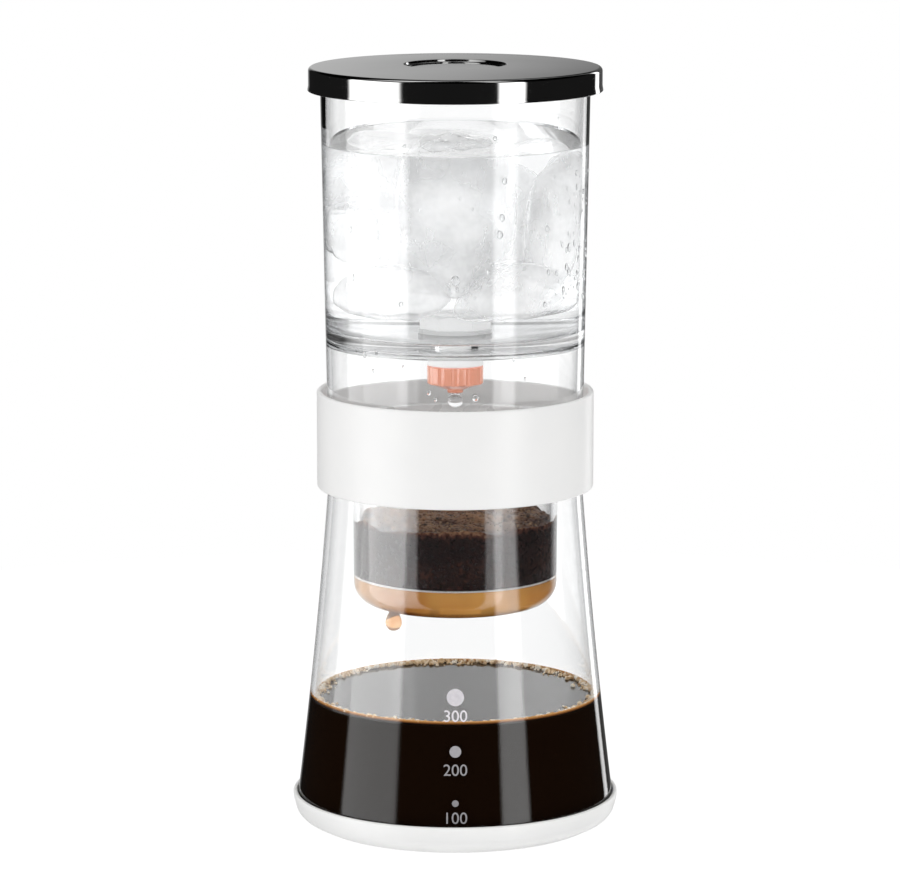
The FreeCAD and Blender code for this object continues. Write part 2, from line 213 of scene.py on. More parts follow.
direction = node(sky, "ShaderNodeTexCoord").outputs["Generated"]
along = node(sky, "ShaderNodeSeparateXYZ", [direction]).outputs
azimuth = arithmetic(sky, "ARCTAN2", along["X"], arithmetic(sky, "MULTIPLY", along["Y"], -1.0))
share = arithmetic(sky, "MULTIPLY_ADD", azimuth, 1 / full_turn, 0.5)
rise = arithmetic(sky, "MULTIPLY_ADD", along["Z"], 0.5, 0.5)

box_glow = 1.0
front_glow = 0.004
inner_glow = 0.022
side_glow = 0.24
outside_strength = 3.2
inside_strength = 4.5
outside_bands = [
    (-180, 0.130), (-176, 0.190), (-168, 0.10), (-160, front_glow), (-92, front_glow), (-89, 0.75),
    (-46, 0.75), (-42, front_glow), (33, front_glow), (36, box_glow), (54, box_glow), (57, front_glow),
    (141, front_glow), (144, 0.8), (150, 0.8), (153, 0.02), (176, 0.045), (180, 0.130),
]
inside_bands = [
    (-180, 0.24), (-178, 0.27), (-174, side_glow), (-116, side_glow), (-112, 0.9), (-46, 0.9),
    (-42, inner_glow), (33, inner_glow), (36, 0.7), (54, 0.7), (57, inner_glow),
    (135, inner_glow), (150, side_glow), (172, side_glow), (178, 0.27), (180, 0.24),
]
glow_by_rise = [(0.0, 0.35), (0.25, 1.0), (0.62, 1.0), (0.69, 0.08), (0.83, 0.08), (0.93, 0.45)]


def studio_bands(bands):
    """What a mirror sees at an azimuth, from (degrees, glow)."""
    return ramp(sky, share, [(turn_share(degrees), glow) for degrees, glow in bands])


overhead = ramp(sky, rise, glow_by_rise)
ray = node(sky, "ShaderNodeLightPath").outputs
through_glass = arithmetic(sky, "GREATER_THAN", ray["Transmission Depth"], 0.5)
mirrored = arithmetic(sky, "GREATER_THAN", ray["Glossy Depth"], 0.5)
scattered_light = arithmetic(sky, "GREATER_THAN", ray["Diffuse Depth"], 0.5)
straight_through = 1.12
lean = arithmetic(sky, "MULTIPLY_ADD", along["Z"], 0.12, 1.0)
soft_light = arithmetic(sky, "MULTIPLY_ADD", along["X"], -0.10, lean)


def either(choice, value, other):
    """The value where the choice is 0, the other where it is 1."""
    return node(sky, "ShaderNodeMix", [choice, None, value, other], data_type="FLOAT").outputs[0]


outside = arithmetic(sky, "MULTIPLY", studio_bands(outside_bands), outside_strength)
inside = arithmetic(sky, "MULTIPLY", studio_bands(inside_bands), inside_strength)
reflected = arithmetic(sky, "MULTIPLY", either(through_glass, outside, inside), overhead)
seen = either(mirrored, straight_through, reflected)
seen = either(scattered_light, seen, soft_light)
seen = either(ray["Is Camera Ray"], seen, 1.0)
background = node(sky, "ShaderNodeBackground", [(1, 1, 1, 1), seen])
sky.links.new(background.outputs[0], node(sky, "ShaderNodeOutputWorld").inputs["Surface"])
world.cycles.sampling_method = "NONE"
print("bands in the studio:", len(outside_bands))

# %% [markdown]
# ## Surfaces of revolution
# Nearly every piece of the tower is round, so one function makes most of it: an outline in radius and
# height is turned about the tower's axis. The outline has only the corners that the shape needs. Each
# corner can be rounded by a tangent arc, and each side can be bowed. Screw or spin modifiers could turn
# it too, but a grid of numpy points gives even quads, closed poles and faces that are sure to point
# outwards.

# %% Surfaces of revolution
arc_steps = 9
bow_steps = 36


def arc_at(before, corner, after, radius):
    """Points of the tangent arc of a radius at a corner, kept to half of its two sides: centre plus radius
    times the direction, which turns evenly from one tangent point to the other."""
    back = (before - corner) / np.linalg.norm(before - corner)
    ahead = (after - corner) / np.linalg.norm(after - corner)
    half_angle = math.acos(np.clip(back @ ahead, -1, 1)) / 2
    longest = 0.49 * min(np.linalg.norm(before - corner), np.linalg.norm(after - corner))
    reach = min(radius / math.tan(half_angle), longest)
    radius = reach * math.tan(half_angle)
    inward = (back + ahead) / np.linalg.norm(back + ahead)
    centre = corner + inward * radius / math.sin(half_angle)
    first = corner + back * reach - centre
    last = corner + ahead * reach - centre
    t = np.linspace(0, 1, arc_steps)[:, None]
    sweep = math.acos(np.clip(first @ last / radius**2, -1, 1))
    return centre + (first * np.sin((1 - t) * sweep) + last * np.sin(t * sweep)) / math.sin(sweep)


def outline(corners, closed=True):
    """Points along corners of (radius, height, rounding, bow), in millimetres. The bow is how far the next
    side curves in: a parabola through its two ends and its middle, moved across by the bow."""
    full = [tuple(corner) + (0.0,) * (4 - len(corner)) for corner in corners]
    points = [np.array(corner[:2], float) for corner in full]
    count = len(full)
    pieces = []
    for i, corner in enumerate(full):
        inside = closed or 0 < i < count - 1
        if corner[2] > 0 and inside:
            pieces.append(arc_at(points[i - 1], points[i], points[(i + 1) % count], corner[2]))
        else:
            pieces.append(points[i][None])
    line = []
    for i, corner in enumerate(full):
        line.append(pieces[i])
        if corner[3]:
            start = pieces[i][-1]
            end = pieces[(i + 1) % count][0]
            t = np.linspace(0, 1, bow_steps)[1:-1, None]
            across = np.array([-(end - start)[1], (end - start)[0]]) / np.linalg.norm(end - start)
            line.append(start + (end - start) * t + across * (4 * corner[3] * t * (1 - t)))
    return np.vstack(line)


def grid_faces(rows, columns, close_rows):
    """Quads of a grid whose columns close on themselves, and whose rows do too if asked."""
    i = np.arange(rows if close_rows else rows - 1)[:, None]
    j = np.arange(columns)[None]
    i_next = (i + 1) % rows
    j_next = (j + 1) % columns
    corners = [i * columns + j, i * columns + j_next, i_next * columns + j_next, i_next * columns + j]
    return np.stack(corners, -1).reshape(-1, 4)


def merge_points(mesh, distance):
    """Merges the points of a mesh that coincide, which closes seams and poles."""
    shell = bmesh.new()
    shell.from_mesh(mesh)
    bmesh.ops.remove_doubles(shell, verts=shell.verts, dist=distance)
    shell.to_mesh(mesh)
    shell.free()


def piece(name, points, faces, material, body, sharp_degrees=35.0):
    """A smooth mesh from points in millimetres, closed at its seams and poles, that rides on a body."""
    mesh = bpy.data.meshes.new(name)
    mesh.from_pydata((points.reshape(-1, 3) * mm).tolist(), [], faces.tolist())
    merge_points(mesh, 1e-7)
    mesh.polygons.foreach_set("use_smooth", np.ones(len(mesh.polygons), bool))
    mesh.set_sharp_from_angle(angle=math.radians(sharp_degrees))
    mesh.materials.append(material)
    made = bpy.data.objects.new(name, mesh)
    scene.collection.objects.link(made)
    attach(made, body)
    print(f"{name}: {len(mesh.polygons)} faces on body {body}")
    return made


def turned(name, line, material, body, segments=160):
    """The outline turned about Z: a point (r, z) goes round as (r cos a, r sin a, z). Both ends lie on the
    axis, or the outline closes on itself."""
    angle = np.linspace(0, full_turn, segments, endpoint=False)[None]
    radius = line[:, :1]
    height = line[:, 1:] + 0 * angle
    points = np.stack([radius * np.cos(angle), radius * np.sin(angle), height], -1)
    closed = line[0, 0] > 1e-6
    return piece(name, points, grid_faces(len(line), segments, closed), material, body)


def scattered(name, centres, sizes, material, body, seed, roughness=0.0, rings=4, sides=7):
    """Many small beads in one mesh: each is a ball of rings and sides, scaled by its own three sizes along X,
    Y and Z, made lumpy by a share of random length, and moved to its centre."""
    random = np.random.default_rng(seed)
    v = np.linspace(0, math.pi, rings + 1)[:, None]
    a = np.linspace(0, full_turn, sides, endpoint=False)[None]
    ball = np.stack([np.sin(v) * np.cos(a), np.sin(v) * np.sin(a), -np.cos(v) + 0 * a], -1).reshape(-1, 3)
    count = len(centres)
    lumps = 1 + roughness * random.uniform(-1, 1, (count, len(ball), 1))
    lumps[:, :sides] = lumps[:, :1]
    lumps[:, -sides:] = lumps[:, -1:]
    points = centres[:, None] + ball[None] * lumps * sizes[:, None]
    faces = grid_faces(rings + 1, sides, False)
    faces = (faces[None] + len(ball) * np.arange(count)[:, None, None]).reshape(-1, 4)
    return piece(name, points, faces, material, body, sharp_degrees=80.0)


def waves(x, y, cell, seed, count=14):
    """Smooth random height about 0: a sum of sine waves in random directions, about a cell long."""
    random = np.random.default_rng(seed)
    total = 0 * x
    for heading, length, phase in random.uniform([0, 0.6, 0], [full_turn, 1.8, full_turn], (count, 3)):
        along_wave = x * math.cos(heading) + y * math.sin(heading)
        total = total + np.sin(full_turn * along_wave / (cell * length) + phase)
    return total / math.sqrt(count)


# %% [markdown]
# ## Clear glass
# Borosilicate glass is nearly colourless, with a faint cool tint where it is thick. It has to bend light,
# because a thin see-through sheet would have no rim and no depth. So it is a solid wall with the real
# thickness, full transmission and the real index of refraction. Where the glass is seen edge on its colour
# is painted dark, a painted shade that draws its outline on the white. Blown glass is never quite even, so
# the surface waves a little.

# %% Clear glass
glass, tree, shader = finish("clear_borosilicate_glass", {"Transmission Weight": 1.0, "IOR": 1.47})
relief(tree, shader, noise(tree, 45, 1.0, (1, 1, 0.35)), 0.03 * mm, 0.35)
drive(tree, shader, "Roughness", spread(tree, noise(tree, 300), 0.0, 0.012))
lets_soft_light_in(tree, shader)
# Painted shade: the colour goes dark where the glass is seen edge on, which draws its outline.
painted_edge_shade = node(tree, "ShaderNodeLayerWeight").outputs["Facing"]
drive(tree, shader, "Base Color", ramp(tree, painted_edge_shade, [
    (0.62, (0.99, 0.992, 0.993)), (0.80, (0.62, 0.63, 0.64)), (0.95, (0.16, 0.16, 0.165)),
]))

# %% [markdown]
# ## Carafe
# The carafe is blown in one piece: a rounded foot, a flank that bows in a little, a round shoulder and a
# straight neck. Its outline goes up the outside, over the fire-polished rim and down the inside, so the
# glass has its true wall. Its surface goes on the body of the carafe, and takes the place of the packed
# solid.

# %% Carafe
carafe_floor_z = 2.6
carafe_foot = (49.2, carafe_floor_z)
carafe_neck = (38.8, 106.0)
carafe_top_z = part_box("carafe")[1].z / mm
glass_wall = 1.8
rim_round = 0.45 * glass_wall
flank_bow = 0.56
inner_floor_z = carafe_floor_z + 2.0
inner_foot_radius = carafe_foot[0] - glass_wall
inner_neck_radius = carafe_neck[0] - glass_wall

carafe_outline = outline([
    (0, carafe_floor_z), (*carafe_foot, 6.0, flank_bow), (*carafe_neck, 20.0),
    (carafe_neck[0], carafe_top_z, rim_round), (inner_neck_radius, carafe_top_z, rim_round),
    (inner_neck_radius, carafe_neck[1], 20.0, -flank_bow), (inner_foot_radius, inner_floor_z, 5.0),
    (0, inner_floor_z),
], closed=False)
carafe = turned("carafe_glass", carafe_outline, glass, "carafe", 224)
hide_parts("carafe")

# %% [markdown]
# ## Basket and tank
# The basket hangs by its flange and ends in a thick rounded floor. Its drain holes are left to the packed
# solid, because the amber coffee covers them. The tank is a tube whose floor is fused in above its lower
# edge, so the drip valve hangs inside the glass skirt. Sweeps and solidified cylinders could make both,
# but an outline with both faces of the wall keeps every rim and fillet at its own size.

# %% Basket and tank
basket_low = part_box("basket")[0].z / mm
flange_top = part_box("basket")[1].z / mm
flange_radius = 38.9
flange_bottom = flange_top - 1.8
basket_radius = 31.5
basket_foot_radius = basket_radius - 0.3
basket_wall = 1.9
basket_inner_radius = basket_foot_radius - basket_wall
basket_floor_z = basket_low + 2.2
flange_round = 0.8

basket_outline = outline([
    (0, basket_low), (basket_foot_radius, basket_low, 7.0), (basket_radius, flange_bottom, 0.8),
    (flange_radius, flange_bottom, flange_round), (flange_radius, flange_top, flange_round),
    (basket_radius - basket_wall, flange_top, 1.2), (basket_inner_radius, basket_floor_z, 5.1),
    (0, basket_floor_z),
], closed=False)
basket = turned("basket_glass", basket_outline, glass, "basket", 192)
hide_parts("basket")

tank_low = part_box("tank")[0].z / mm
tank_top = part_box("tank")[1].z / mm
tank_foot_radius = 39.0
tank_rim_radius = 40.95
tank_wall = 1.9
tank_floor_z = tank_low + 27.8
tank_floor_top = tank_floor_z + 2.6
floor_hole_radius = 5.1
tank_rim_round = 0.45 * tank_wall


def tank_outer(z):
    """Outer radius of the tank at a height: it widens evenly from its foot to its rim."""
    return tank_foot_radius + (tank_rim_radius - tank_foot_radius) * (z - tank_low) / (tank_top - tank_low)


tank_outline = outline([
    (floor_hole_radius, tank_floor_z, 0.3), (tank_outer(tank_floor_z) - tank_wall, tank_floor_z, 2.6),
    (tank_foot_radius - tank_wall, tank_low, tank_rim_round), (tank_foot_radius, tank_low, tank_rim_round),
    (tank_rim_radius, tank_top, tank_rim_round), (tank_rim_radius - tank_wall, tank_top, tank_rim_round),
    (tank_outer(tank_floor_top) - tank_wall, tank_floor_top, 2.6), (floor_hole_radius, tank_floor_top, 0.3),
])
tank = turned("tank_glass", tank_outline, glass, "tank", 224)
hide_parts("tank")

# %% [markdown]
# ## Polished lid
# The lid is pressed from thin stainless steel and polished like a mirror. It is slightly crowned, with a
# shallow round dish in the middle, a tight shoulder, and a short skirt with a flared hem. A mirror shows
# every facet, so the lid is turned as one fine surface. Faint smudges lie on it: soft noise that wanders
# in its roughness and its tone.

# %% Polished lid
steel, tree, shader = finish("polished_stainless_steel", {"Metallic": 1.0})
smudge = noise(tree, 60, 4.0)
drive(tree, shader, "Roughness", spread(tree, smudge, 0.035, 0.085))
drive(tree, shader, "Base Color", ramp(tree, smudge, [
    (0.3, (0.57, 0.57, 0.565)), (0.7, (0.63, 0.63, 0.625)),
]))
relief(tree, shader, noise(tree, 25, 1.0), 0.05 * mm, 0.25)

lid_hem_z = 226.2
lid_edge_z = 233.3
lid_sheet = 0.7
lid_radius = 44.5
lid_inner_radius = lid_radius - lid_sheet
lid_under_z = lid_edge_z - lid_sheet
dish_top_z = lid_edge_z + 0.745
dish_floor_z = dish_top_z - 0.85
dish_radius = 15.6
dish_slope = 0.5
hem_radius = lid_radius + 0.25
hem_flare_z = lid_hem_z + 1.5

lid_outline = outline([
    (0, dish_floor_z - lid_sheet), (dish_radius + lid_sheet - dish_slope, dish_floor_z - lid_sheet, 0.5),
    (dish_radius + lid_sheet, dish_top_z - lid_sheet, 0.3), (lid_inner_radius, lid_under_z, 0.5),
    (lid_inner_radius, hem_flare_z, 3.0), (hem_radius - lid_sheet, lid_hem_z, 0.2),
    (hem_radius, lid_hem_z, 0.2), (lid_radius, hem_flare_z, 3.0),
    (lid_radius, lid_edge_z, 1.2), (dish_radius, dish_top_z, 0.3),
    (dish_radius - dish_slope, dish_floor_z, 0.5), (0, dish_floor_z),
], closed=False)
lid = turned("lid_polished", lid_outline, steel, "lid", 256)
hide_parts("lid")

# %% [markdown]
# ## Plastic, silicone and small steel
# The collar is satin white plastic, and the boot and the seals are silicone. White things look flat when
# they have one flat colour, so each has a faint cloudiness and a roughness that wanders a little, and the
# silicone has a fine moulded grain. The valve is frosted plastic that lets light through, and its knob is
# a clear salmon colour. A faint painted glow on both stands in for the light that would come through them.

# %% Plastic, silicone and small steel


def moulded(name, dark, light, roughness, sockets, grain_depth=0.02 * mm, swing=0.05):
    """A moulded material: cloudy colour from dark to light, roughness that swings a little, a fine grain."""
    material, tree, shader = finish(name, sockets)
    cloud = noise(tree, 70, 4.0)
    drive(tree, shader, "Base Color", ramp(tree, cloud, [(0.3, dark), (0.7, light)]))
    wander = noise(tree, 180, 2.0)
    drive(tree, shader, "Roughness", spread(tree, wander, roughness - swing, roughness + swing))
    if grain_depth > 0:
        relief(tree, shader, noise(tree, 900, 1.0), grain_depth, 0.08)
    return material


white_plastic = moulded(
    "satin_white_plastic", (0.845, 0.845, 0.84), (0.865, 0.862, 0.855), 0.34,
    {"Specular IOR Level": 0.45}, grain_depth=0.0, swing=0.01,
)
white_silicone = moulded(
    "white_silicone_boot", (0.83, 0.83, 0.82), (0.86, 0.86, 0.85), 0.42,
    {"Subsurface Weight": 0.15, "Subsurface Radius": (0.002, 0.002, 0.0018), "Subsurface Scale": 1.0},
)
seal_silicone = moulded(
    "clear_seal_silicone", (0.88, 0.89, 0.89), (0.94, 0.94, 0.94), 0.30,
    {"Transmission Weight": 0.15, "IOR": 1.41}, grain_depth=0.004 * mm,
)
# The frosted plastic's faint white emission is a painted glow, for light that would come through it.
frosted = moulded(
    "frosted_valve_plastic", (0.92, 0.925, 0.925), (0.97, 0.97, 0.97), 0.40,
    {"Transmission Weight": 0.12, "IOR": 1.46, "Emission Color": (1, 1, 1, 1), "Emission Strength": 0.16},
    grain_depth=0.006 * mm,
)
# The knob's faint salmon emission is a painted glow, for light that would come through it.
salmon = moulded(
    "salmon_knob_plastic", (0.88, 0.40, 0.27), (0.93, 0.52, 0.38), 0.14,
    {"Transmission Weight": 0.15, "IOR": 1.5, "Coat Weight": 0.5, "Coat Roughness": 0.05,
     "Emission Color": (0.9, 0.40, 0.27, 1), "Emission Strength": 0.14},
    grain_depth=0.004 * mm,
)
bright_steel, tree, shader = finish(
    "bright_rolled_steel", {"Base Color": (0.62, 0.61, 0.60, 1), "Metallic": 1.0},
)
drive(tree, shader, "Roughness", spread(tree, noise(tree, 900, 3.0, (1, 12, 1)), 0.18, 0.36))

finish_of_node = {
    "base_boot": white_silicone,
    "collar": white_plastic,
    "valve_body": frosted,
    "valve_nut": frosted,
    "valve_knob": salmon,
    "valve_needle": bright_steel,
    "filter_frame": bright_steel,
    "filter_mesh": bright_steel,
}
for name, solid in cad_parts.items():
    solid.data.materials.clear()
    solid.data.materials.append(finish_of_node.get(name, seal_silicone))
print("solids dressed:", len(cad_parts))

# %% [markdown]
# ## Collar
# The collar is a broad, plain white band, where every flaw of a shaded facet shows. So it is turned as
# one fine surface too: a tube, with the shelf inside it that the basket hangs from.

# %% Collar
collar_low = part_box("collar")[0].z / mm
collar_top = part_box("collar")[1].z / mm
collar_bore = 40.7
collar_radius = 42.3
collar_round = 0.7
shelf_z = collar_low + 12.7
shelf_top_z = shelf_z + 2.0
shelf_hole_radius = 32.4

collar_outline = outline([
    (collar_radius, collar_low, collar_round), (collar_radius, collar_top, collar_round),
    (collar_bore, collar_top, collar_round), (collar_bore, shelf_top_z, 0.5),
    (shelf_hole_radius, shelf_top_z, 0.4), (shelf_hole_radius, shelf_z, 0.4),
    (collar_bore, shelf_z, 0.5), (collar_bore, collar_low, collar_round),
])
collar = turned("collar_ring", collar_outline, white_plastic, "collar", 224)
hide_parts("collar")

# %% [markdown]
# ## Brewed coffee
# Coffee wets the glass, so no air lies between them, and the black reaches the very edge of the carafe.
# The coffee is a turned body whose skin lies a little way into the glass, so that a ray meets coffee
# before it can be mirrored by the inner wall. Its surface climbs the wall in a small meniscus. It is
# nearly black, and brown where thin.

# %% Brewed coffee
coffee_level = 39.6
into_glass = 0.15
meniscus = 1.1
meniscus_reach = 2.4

inner_line = outline([
    (0, inner_floor_z), (inner_foot_radius, inner_floor_z, 5.0, flank_bow),
    (inner_neck_radius, carafe_neck[1]),
], closed=False)


def coffee_wall(z):
    """Inner radius of the carafe at a height above its rounded foot."""
    rising = inner_line[arc_steps:]
    return np.interp(z, rising[:, 1], rising[:, 0])


coffee, tree, shader = finish("brewed_coffee", {"Roughness": 0.02, "IOR": 1.34})
height = height_on_piece(tree)
thin = spread(tree, height, 0.0, 1.0, (coffee_level + 0.1) * mm, (coffee_level + 0.9) * mm)
drive(tree, shader, "Base Color", ramp(tree, thin, [
    (0.0, (0.006, 0.0025, 0.001)), (0.5, (0.20, 0.075, 0.02)), (1.0, (0.55, 0.27, 0.09)),
]))
shine = spread(tree, height, 0.0, 0.5, (coffee_level - 0.6) * mm, coffee_level * mm)
drive(tree, shader, "Specular IOR Level", shine)
relief(tree, shader, noise(tree, 60, 2.0), 0.12 * mm, 0.3)

below = inner_line[inner_line[:, 1] < coffee_level + meniscus]
skin = below + np.array([into_glass, -into_glass]) * (below[:, :1] > 1)
climb = np.linspace(1, 0, 14)[:, None]
curve = np.hstack([
    coffee_wall(coffee_level + meniscus) + into_glass - meniscus_reach * (1 - climb),
    coffee_level + meniscus * climb**3,
])
surface_radius = np.linspace(curve[-1, 0], 0, 12)[1:, None]
surface = np.hstack([surface_radius, coffee_level + 0 * surface_radius])
coffee_outline = np.vstack([skin, curve, surface])
turned("brewed_coffee", coffee_outline, coffee, "carafe", 200)

# %% [markdown]
# ## Foam ring
# Small bubbles gather where the coffee meets the glass. Each is a ball of a few faces in one mesh,
# because thousands of separate objects would be slow. They crowd at the wall and thin out inwards, which
# an exponential spread gives, and slow waves round the rim make the ring wider in some places.

# %% Foam ring
foam_material, tree, shader = finish("coffee_foam", {"Roughness": 0.10, "IOR": 1.34, "Coat Weight": 0.8})
drive(tree, shader, "Base Color", ramp(tree, noise(tree, 420, 2.0), [
    (0.30, (0.38, 0.20, 0.07)), (0.48, (0.82, 0.62, 0.38)), (0.62, (0.97, 0.91, 0.80)),
]))
random = np.random.default_rng(11)
bubble_count = 2600
around = random.uniform(0, full_turn, bubble_count)
bubble = random.gamma(2.6, 0.11, bubble_count).clip(0.12, 0.85)
crowding = (0.85 + 0.6 * waves(np.cos(around), np.sin(around), 0.6, 5)).clip(0.25, 2.2)
inset = (random.exponential(0.75, bubble_count) * crowding + 0.75 * bubble).clip(0, 5.5)
reach = coffee_wall(coffee_level) - inset
rise_at_wall = meniscus * np.clip(1 - inset / meniscus_reach, 0, 1) ** 3
float_z = coffee_level + rise_at_wall + 0.25 * bubble
centres = np.stack([reach * np.cos(around), reach * np.sin(around), float_z], -1)
scattered(
    "coffee_foam", centres, bubble[:, None] * np.ones(3), foam_material, "carafe",
    seed=3, rings=5, sides=8,
)

# %% [markdown]
# ## Level marks
# The carafe has plain printed numbers, each under a dot, and the dots grow with the level. The numbers
# are text made into a mesh. Each point is then wrapped onto the glass: its distance across becomes an
# angle round the axis, and its height picks the radius of the flared wall, plus the thickness of the
# print.

# %% Level marks
outer_line = outline([(*carafe_foot, 0, flank_bow), carafe_neck], closed=False)


def print_ink(name, grey):
    """Matt screen print in a faintly lilac grey, a little uneven."""
    material, tree, shader = finish(name, {"Roughness": 0.5})
    thin_ink = (grey * 0.88, grey * 0.85, grey * 0.90)
    full_ink = (grey * 1.05, grey * 1.01, grey * 1.06)
    drive(tree, shader, "Base Color", ramp(tree, noise(tree, 800, 3.0), [(0.3, thin_ink), (0.7, full_ink)]))
    return material


print_gap = 0.03
print_thickness = 0.04
number_height = 3.45


def points_of(mesh):
    """The points of a mesh, as rows of three numbers."""
    flat = np.empty(3 * len(mesh.vertices), np.float32)
    mesh.vertices.foreach_get("co", flat)
    return flat.reshape(-1, 3).astype(float)


def wrapped(name, mesh, ink):
    """Wraps a flat mesh, in millimetres across, up and out, onto the carafe: angle is across over radius."""
    across, up, out = points_of(mesh).T
    wall = np.interp(up, outer_line[:, 1], outer_line[:, 0])
    angle = across / wall
    reach = wall + print_gap + out
    place = np.stack([reach * np.sin(angle), -reach * np.cos(angle), up], -1) * mm
    mesh.vertices.foreach_set("co", place.astype(np.float32).ravel())
    mesh.materials.clear()
    mesh.materials.append(ink)
    made = bpy.data.objects.new(name, mesh)
    scene.collection.objects.link(made)
    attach(made, "carafe")


def number_mesh(text, centre_z):
    """The text as a flat mesh, number_height tall, centred on the carafe's front at a height."""
    letters = bpy.data.curves.new("number_" + text, "FONT")
    letters.body = text
    letters.align_x = "CENTER"
    holder = bpy.data.objects.new("number_holder", letters)
    scene.collection.objects.link(holder)
    mesh = bpy.data.meshes.new_from_object(holder.evaluated_get(bpy.context.evaluated_depsgraph_get()))
    bpy.data.objects.remove(holder)
    merge_points(mesh, 1e-6)
    points = points_of(mesh)
    points *= number_height / np.ptp(points[:, 1])
    points[:, 1] += centre_z - number_height / 2 - points[:, 1].min()
    points[:, 2] = print_thickness
    mesh.vertices.foreach_set("co", points.astype(np.float32).ravel())
    return mesh


def dot_mesh(name, centre_z, radius):
    """A flat dot: a fan of rings, so that it bends with the glass."""
    ring_count = 5
    sides = 40
    rings = np.linspace(0, radius, ring_count)[:, None]
    angle = np.linspace(0, full_turn, sides, endpoint=False)[None]
    out = print_thickness + 0 * rings * angle
    points = np.stack([rings * np.cos(angle), centre_z + rings * np.sin(angle), out], -1)
    mesh = bpy.data.meshes.new(name)
    faces = grid_faces(ring_count, sides, False)[:, ::-1]
    mesh.from_pydata(points.reshape(-1, 3).tolist(), [], faces.tolist())
    merge_points(mesh, 1e-5)
    return mesh


level_marks = {
    "300": (42.6, 0.80, 48.2, 2.6, 0.66),
    "200": (26.4, 0.32, 31.9, 1.75, 0.38),
    "100": (12.0, 0.30, 16.4, 1.02, 0.26),
}
for text, (number_z, number_grey, dot_z, dot_radius, dot_grey) in level_marks.items():
    number_ink = print_ink("number_print_" + text, number_grey)
    dot_ink = print_ink("dot_print_" + text, dot_grey)
    wrapped("level_number_" + text, number_mesh(text, number_z), number_ink)
    wrapped("level_dot_" + text, dot_mesh("dot_" + text, dot_z, dot_radius), dot_ink)
print("level marks:", len(level_marks))

# %% [markdown]
# ## Ground coffee
# The bed of wet grounds fills the basket from the filter to just under the collar. It is nearly black,
# and its top is uneven, with a paler froth of crumbs on it. The bed is one grid in polar form, which
# closes at both poles. The grounds wet the glass, so they reach a little way into the wall.

# %% Ground coffee
grounds_low = 77.9
grounds_top = 95.6
grounds, tree, shader = finish("wet_coffee_grounds", {"IOR": 1.4, "Specular IOR Level": 0.2})
grain = noise(tree, 900, 5.0)
blotch = noise(tree, 120, 3.0)
height = height_on_piece(tree)
froth = spread(tree, height, 0.0, 0.35, (grounds_top - 2.2) * mm, (grounds_top + 0.8) * mm)
rough_grain = arithmetic(tree, "MULTIPLY", grain, 0.55)
mixed = arithmetic(tree, "ADD", arithmetic(tree, "MULTIPLY_ADD", blotch, 0.45, rough_grain), froth)
drive(tree, shader, "Base Color", ramp(tree, mixed, [
    (0.40, (0.005, 0.0006, 0.0004)), (0.54, (0.012, 0.002, 0.001)), (0.68, (0.055, 0.016, 0.008)),
    (0.95, (0.36, 0.20, 0.11)),
]))
drive(tree, shader, "Roughness", spread(tree, grain, 0.15, 0.55))
relief(tree, shader, grain, 0.5 * mm, 0.8)


def basket_wall_at(z):
    """Inner radius of the basket at a height above its rounded floor."""
    return np.interp(z, [basket_floor_z, flange_top], [basket_inner_radius, basket_radius - basket_wall])


def uneven_at(x, y):
    """How far the top of the bed rises or falls at a point: broad waves and small ones."""
    return 0.75 * waves(x, y, 17.0, 21) + 0.28 * waves(x, y, 4.0, 22)


def dome_at(radius):
    """How far the top of the bed stands above its edge at a radius."""
    return 0.9 * (1 - (radius / bed_radius) ** 2)


# The rows of the grid go from the middle of the underside out to the wall, up it, and back in over the top.
bed_columns = 160
side_rows = 10
top_rows = 39
bed_radius = basket_wall_at(grounds_top) + into_glass
angle = np.linspace(0, full_turn, bed_columns, endpoint=False)[None]
side_z = np.linspace(grounds_low, grounds_top, side_rows)[:, None]
top_share = np.linspace(1, 0, top_rows + 1)[1:, None]
radius = np.vstack([[[0.0]], basket_wall_at(side_z) + into_glass, top_share * bed_radius])
flat_z = np.vstack([[[grounds_low]], side_z, grounds_top + 0 * top_share])
x = radius * np.cos(angle)
y = radius * np.sin(angle)
on_top = np.arange(len(radius))[:, None] >= side_rows
calm = np.where(radius > 1, 1.0, 0.35)
points = np.stack([x, y, flat_z + on_top * (uneven_at(x, y) * calm + dome_at(radius))], -1)
points[-1, :] = points[-1].mean(0)
bed_faces = grid_faces(len(points), bed_columns, False)
piece("ground_coffee", points, bed_faces, grounds, "filter", sharp_degrees=60.0)

# %% [markdown]
# ## Crumbs
# Loose crumbs stand out of the froth, lumpy and of all sizes. They are scattered evenly over the disc,
# for which the radius goes with the square root of a random share, and sit on the same uneven top.

# %% Crumbs
crumb_material, tree, shader = finish("coffee_crumbs", {"Roughness": 0.5})
drive(tree, shader, "Base Color", ramp(tree, noise(tree, 700, 2.0), [
    (0.32, (0.030, 0.012, 0.006)), (0.5, (0.16, 0.075, 0.035)), (0.68, (0.48, 0.32, 0.18)),
]))
random = np.random.default_rng(31)
crumb_count = 1100
crumb_angle = random.uniform(0, full_turn, crumb_count)
crumb_reach = (basket_wall_at(grounds_top) - 0.3) * np.sqrt(random.uniform(0.02, 1, crumb_count))
crumb_size = random.gamma(3.5, 0.085, crumb_count).clip(0.12, 0.7)
x = crumb_reach * np.cos(crumb_angle)
y = crumb_reach * np.sin(crumb_angle)
crumb_z = grounds_top + uneven_at(x, y) + dome_at(crumb_reach) + 0.1 * crumb_size
crumb_sizes = crumb_size[:, None] * random.uniform(0.6, 1.2, (crumb_count, 3))
scattered(
    "coffee_crumbs", np.stack([x, y, crumb_z], -1), crumb_sizes, crumb_material, "filter",
    seed=32, roughness=0.25, rings=4, sides=6,
)

# %% [markdown]
# ## Amber coffee
# Below the grounds a layer of amber coffee waits to drain. It is turned like the glass, half clear, and
# it too reaches a little way into the wall.

